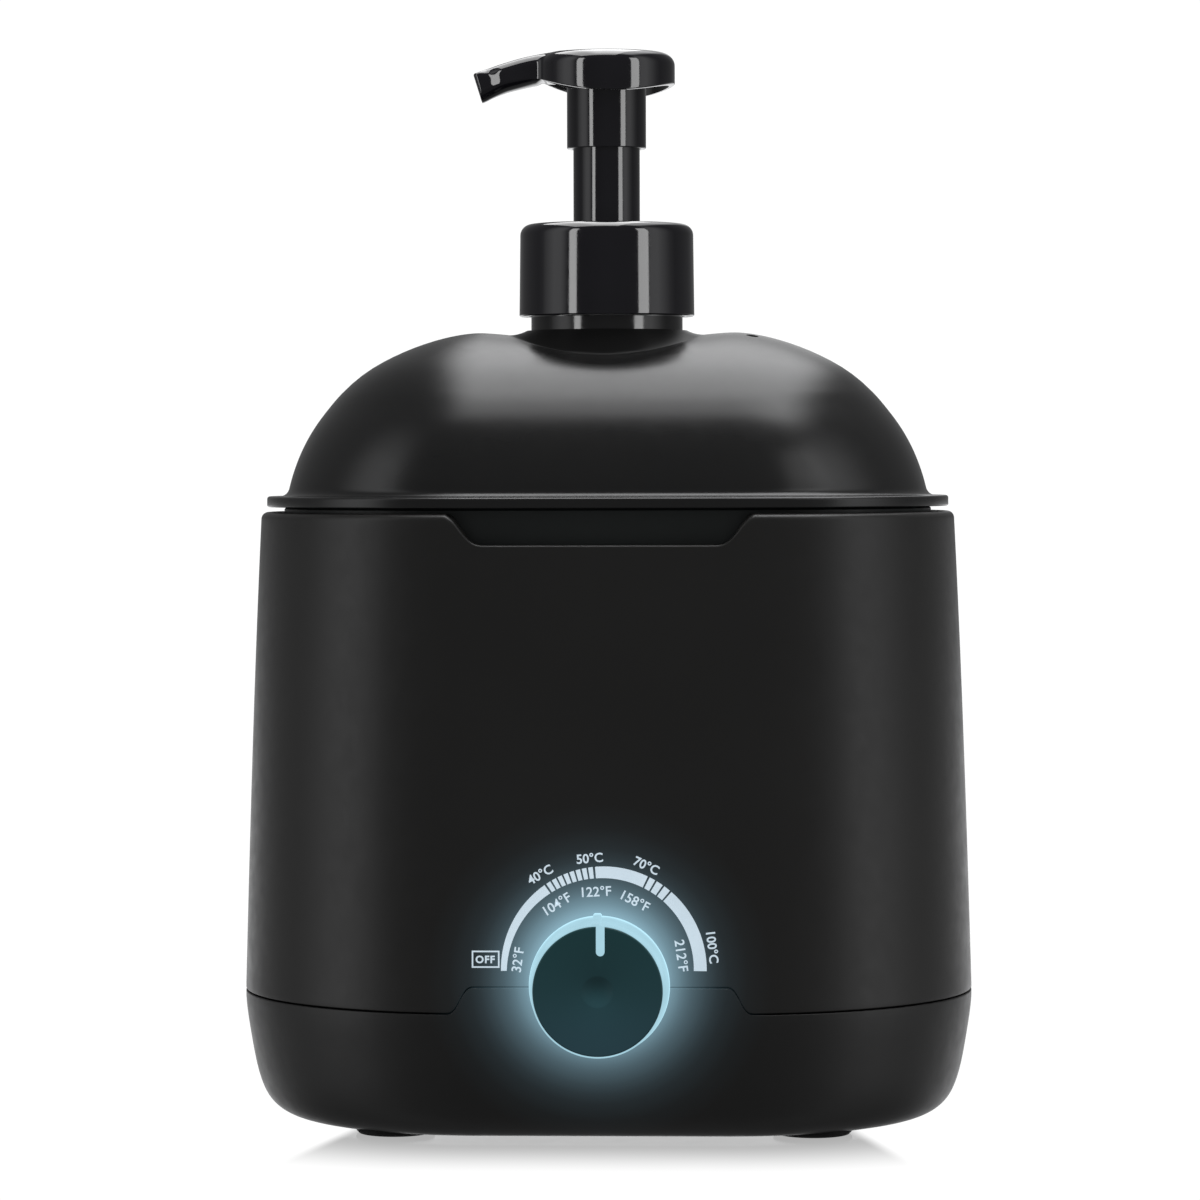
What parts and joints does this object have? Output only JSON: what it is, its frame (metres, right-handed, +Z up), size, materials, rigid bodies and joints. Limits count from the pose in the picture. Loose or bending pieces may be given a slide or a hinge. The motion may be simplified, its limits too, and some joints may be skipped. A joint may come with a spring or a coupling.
{
  "type": "hot lather machine",
  "caption": "Stadium-shaped heated water bath with a lit rotary dial, a domed lift-off lid and a foam pump bottle whose neck passes through the lid.",
  "frame": {"origin": "on the surface it stands on, under the middle of its bounding box", "axes": "+Z up, -Y out of the front with the dial, +X to the right seen from the front"},
  "size_m": [0.2, 0.1492, 0.2922],
  "materials": {
    "body_black": "satin moulded, fine grain",
    "base_black": "satin moulded, fine grain",
    "lid_black": "semi-gloss",
    "pump_black": "gloss",
    "bottle_black": "gloss",
    "knob_dark": "satin",
    "lens_glow": "frosted, lit",
    "tank_grey": "satin",
    "foot_rubber": "matt",
    "seal_silicone": "matt silicone",
    "heater_alu": "machined",
    "steel": "plated",
    "spring_steel": "drawn wire",
    "element_steel": "heat-darkened tube",
    "brass": "plated",
    "pcb_green": "solder mask",
    "relay_blue": "moulded",
    "transformer_core": "taped winding",
    "capacitor_yellow": "moulded",
    "terminal_green": "moulded",
    "fuse_white": "glazed",
    "lead_insulation": "silicone sleeve",
    "control_grey": "moulded",
    "led_white": "phosphor",
    "pump_natural": "natural moulded",
    "tube_clear": "extruded",
    "mesh_white": "woven nylon mesh"
  },
  "bodies": {
    "housing": {"base_shell": "base_black", "body_shell": "body_black", "water_tank": "tank_grey", "heater_plate": "heater_alu", "heater_gasket": "seal_silicone", "heating_element": "element_steel", "heater_clamp": "steel", "clamp_screws": "steel", "thermal_fuse": "fuse_white", "temperature_sensor": "steel", "control_board": "pcb_green", "transformer": "transformer_core", "relay": "relay_blue", "filter_capacitor": "capacitor_yellow", "terminal_block": "terminal_green", "board_screws": "steel", "light_guide": "lens_glow", "led_board": "pcb_green", "leds": "led_white", "dial_bracket": "steel", "bracket_screws": "steel", "dial_control": "control_grey", "dial_nut": "brass", "power_inlet": "control_grey", "inlet_pins": "brass", "inlet_leads": "lead_insulation", "heater_leads": "lead_insulation", "dial_leads": "lead_insulation", "rubber_feet": "foot_rubber", "case_screws": "steel", "tank_screws": "steel"},
    "knob": {"knob_cap": "knob_dark", "knob_lens": "lens_glow", "dial_shaft": "steel"},
    "lid": {"lid_shell": "lid_black"},
    "bottle": {"bottle": "bottle_black"},
    "pump": {"air_cylinder": "pump_natural", "pump_guide": "pump_black", "pump_gasket": "seal_silicone", "dip_tube": "tube_clear", "pump_spring": "spring_steel"},
    "collar": {"pump_collar": "pump_black"},
    "plunger": {"air_piston": "pump_natural", "liquid_piston": "pump_natural"},
    "head": {"pump_head": "pump_black", "mesh_cartridge": "pump_natural", "foam_meshes": "mesh_white"},
    "inlet_ball": {"inlet_ball": "steel"}
  },
  "joints": [
    {"name": "knob_turn", "type": "hinge", "parent": "housing", "child": "knob", "pos_m": [0, -0.06252, 0.0428], "axis": [0, 1, 0], "range_deg": [-90, 90]},
    {"name": "lid_lift", "type": "slide", "parent": "housing", "child": "lid", "axis": [0, 0, 1], "range_m": [0, 0.12]},
    {"name": "bottle_turn", "type": "hinge", "parent": "lid", "child": "bottle", "pos_m": [0, 0.00747, 0.2], "axis": [0, 0, 1], "continuous": true},
    {"name": "pump_rise", "type": "slide", "parent": "bottle", "child": "pump", "axis": [0, 0, 1], "range_m": [0, 0.00525]},
    {"name": "collar_unscrew", "type": "hinge", "parent": "pump", "child": "collar", "pos_m": [0, 0.00747, 0.23], "axis": [0, 0, 1], "range_deg": [0, 450]},
    {"name": "head_press", "type": "slide", "parent": "pump", "child": "plunger", "axis": [0, 0, 1], "range_m": [-0.017, 0], "stiffness_N_per_m": 700, "springref_m": 0.006, "deforming": ["pump_spring"]},
    {"name": "head_swivel", "type": "hinge", "parent": "plunger", "child": "head", "pos_m": [0, 0.00747, 0.28], "axis": [0, 0, 1], "continuous": true},
    {"name": "inlet_ball_lift", "type": "slide", "parent": "pump", "child": "inlet_ball", "axis": [0, 0, 1], "range_m": [0, 0.001]}
  ],
  "couplings": [
    {"joint": "pump_rise", "follows": "collar_unscrew", "m_per_rad": 0.00066845}
  ]
}
